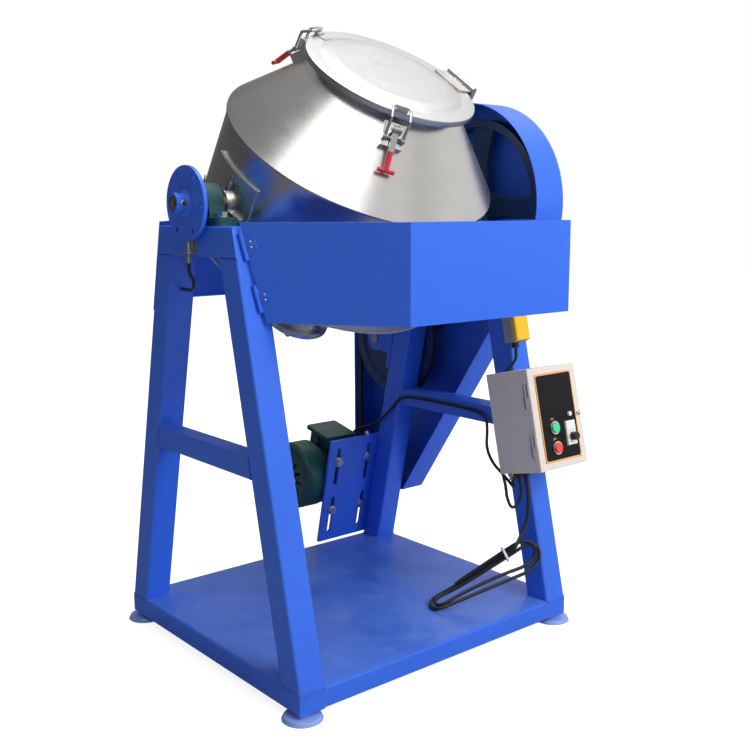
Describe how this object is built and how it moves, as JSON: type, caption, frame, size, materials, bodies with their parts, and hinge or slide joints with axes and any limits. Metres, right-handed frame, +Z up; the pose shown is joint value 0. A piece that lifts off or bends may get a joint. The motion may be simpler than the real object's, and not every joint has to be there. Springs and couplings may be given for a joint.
{
  "type": "drum mixer",
  "caption": "Tumbling drum mixer: a double-cone stainless drum with a latched lid on two trestles, driven by belts from a geared-down motor, with guards and a control box.",
  "frame": {"origin": "on the floor, under the middle of the machine's outer box", "axes": "+X along the drum's spin axis towards the belt drive, -Y towards the operator, +Z up"},
  "size_m": [0.867, 0.8952, 1.3033],
  "materials": {
    "blue_paint": "glossy royal blue paint",
    "green_paint": "dark green paint on castings",
    "grey_paint": "light grey powder coat",
    "stainless": "satin sheet",
    "bright_steel": "machined and plated",
    "belt_rubber": "matt",
    "white_rubber": "smooth",
    "red_grip": "dipped sleeve",
    "panel_black": "printed sheet",
    "white_plastic": "moulded",
    "green_plastic": "moulded",
    "red_plastic": "moulded",
    "black_plastic": "moulded",
    "yellow_plastic": "moulded",
    "cable_black": "smooth sheath"
  },
  "bodies": {
    "frame": {"base_rails": "blue_paint", "deck_plate": "blue_paint", "feet": "blue_paint", "left_legs": "blue_paint", "right_legs": "blue_paint", "top_beams": "blue_paint", "cross_tubes": "blue_paint", "bearing_housings": "green_paint", "bearing_inserts": "bright_steel", "bearing_bolts": "bright_steel", "belt_guard": "blue_paint", "rear_guard": "blue_paint", "belt_guard_tabs": "blue_paint", "guard_fasteners": "bright_steel", "motor_plate": "blue_paint", "motor_fasteners": "bright_steel", "motor_frame": "green_paint", "motor_fan_cover": "green_paint", "motor_terminal_box": "green_paint", "jack_housing": "blue_paint", "motor_belt": "belt_rubber", "drum_belts": "belt_rubber", "control_box": "grey_paint", "interlock_switch": "yellow_plastic", "speed_sensor": "bright_steel", "sensor_bracket": "bright_steel", "guard_hinge_frame": "blue_paint", "motor_cable": "cable_black", "switch_cable": "cable_black", "power_cord": "cable_black", "power_cord_hank": "cable_black"},
    "drum": {"drum_shell": "stainless", "trunnions": "stainless", "drum_shafts": "bright_steel", "bearing_inner_rings": "bright_steel", "index_disc": "blue_paint", "drum_pulley": "blue_paint", "latch_brackets": "stainless", "outlet_cap": "stainless", "lid_hinge_base": "stainless"},
    "lid": {"lid": "stainless", "lid_seal": "white_rubber", "lid_hinge_leaf": "stainless", "latch_keepers": "bright_steel"},
    "front_latch": {"front_latch_handle": "red_grip"},
    "front_bail": {"front_latch_bail": "bright_steel"},
    "rear_latch": {"rear_latch_handle": "red_grip"},
    "rear_bail": {"rear_latch_bail": "bright_steel"},
    "jack_shaft": {"jack_shaft": "bright_steel", "jack_pulleys": "blue_paint"},
    "motor_rotor": {"motor_shaft": "bright_steel", "motor_pulley": "blue_paint"},
    "guard_door": {"guard_door": "blue_paint", "guard_hinge_door": "blue_paint"},
    "control_door": {"control_box_door": "grey_paint", "control_panel": "panel_black", "panel_fittings": "white_plastic"},
    "start_button": {"start_button": "green_plastic"},
    "stop_button": {"stop_button": "red_plastic"},
    "timer_knob": {"timer_knob": "black_plastic"}
  },
  "joints": [
    {"name": "drum_spin", "type": "hinge", "parent": "frame", "child": "drum", "pos_m": [-0.0265, -0.02961, 0.9489], "axis": [1, 0, 0], "continuous": true},
    {"name": "lid_hinge", "type": "hinge", "parent": "drum", "child": "lid", "pos_m": [0.1665, -0.2024, 1.20507], "axis": [0, 0.829, 0.5592], "range_deg": [0, 105]},
    {"name": "front_latch_hinge", "type": "hinge", "parent": "drum", "child": "front_latch", "pos_m": [-0.12625, -0.32735, 1.08135], "axis": [-0.866, 0.4145, 0.2796], "range_deg": [0, 110]},
    {"name": "front_bail_hinge", "type": "hinge", "parent": "front_latch", "child": "front_bail", "pos_m": [-0.129, -0.32263, 1.06584], "axis": [0.866, -0.4145, -0.2796], "range_deg": [0, 135]},
    {"name": "rear_latch_hinge", "type": "hinge", "parent": "drum", "child": "rear_latch", "pos_m": [-0.12625, -0.04088, 1.27458], "axis": [0.866, 0.4145, 0.2796], "range_deg": [0, 110]},
    {"name": "rear_bail_hinge", "type": "hinge", "parent": "rear_latch", "child": "rear_bail", "pos_m": [-0.129, -0.02826, 1.26439], "axis": [-0.866, -0.4145, -0.2796], "range_deg": [0, 135]},
    {"name": "jack_spin", "type": "hinge", "parent": "frame", "child": "jack_shaft", "pos_m": [0.3655, 0.24539, 0.602], "axis": [1, 0, 0], "continuous": true},
    {"name": "motor_spin", "type": "hinge", "parent": "frame", "child": "motor_rotor", "pos_m": [0.3555, 0.35961, 0.23945], "axis": [1, 0, 0], "continuous": true},
    {"name": "guard_door_hinge", "type": "hinge", "parent": "frame", "child": "guard_door", "pos_m": [-0.35208, -0.21338, 0.729], "axis": [0.1432, -0.217, -0.9656], "range_deg": [0, 105]},
    {"name": "control_door_hinge", "type": "hinge", "parent": "frame", "child": "control_door", "pos_m": [0.2083, -0.39748, 0.38122], "axis": [0, -0.2192, -0.9757], "range_deg": [0, 110]},
    {"name": "start_button_press", "type": "slide", "parent": "control_door", "child": "start_button", "axis": [0, 0.9757, -0.2192], "range_m": [0, 0.004], "stiffness_N_per_m": 400},
    {"name": "stop_button_press", "type": "slide", "parent": "control_door", "child": "stop_button", "axis": [0, 0.9757, -0.2192], "range_m": [0, 0.004], "stiffness_N_per_m": 400},
    {"name": "timer_knob_turn", "type": "hinge", "parent": "control_door", "child": "timer_knob", "pos_m": [0.3195, -0.39649, 0.44607], "axis": [0, 0.9757, -0.2192], "range_deg": [0, 300]}
  ],
  "couplings": [
    {"joint": "front_bail_hinge", "follows": "front_latch_hinge", "ratio": 1.2273},
    {"joint": "rear_bail_hinge", "follows": "rear_latch_hinge", "ratio": 1.2273},
    {"joint": "jack_spin", "follows": "drum_spin", "ratio": 5},
    {"joint": "motor_spin", "follows": "drum_spin", "ratio": 19.125}
  ]
}
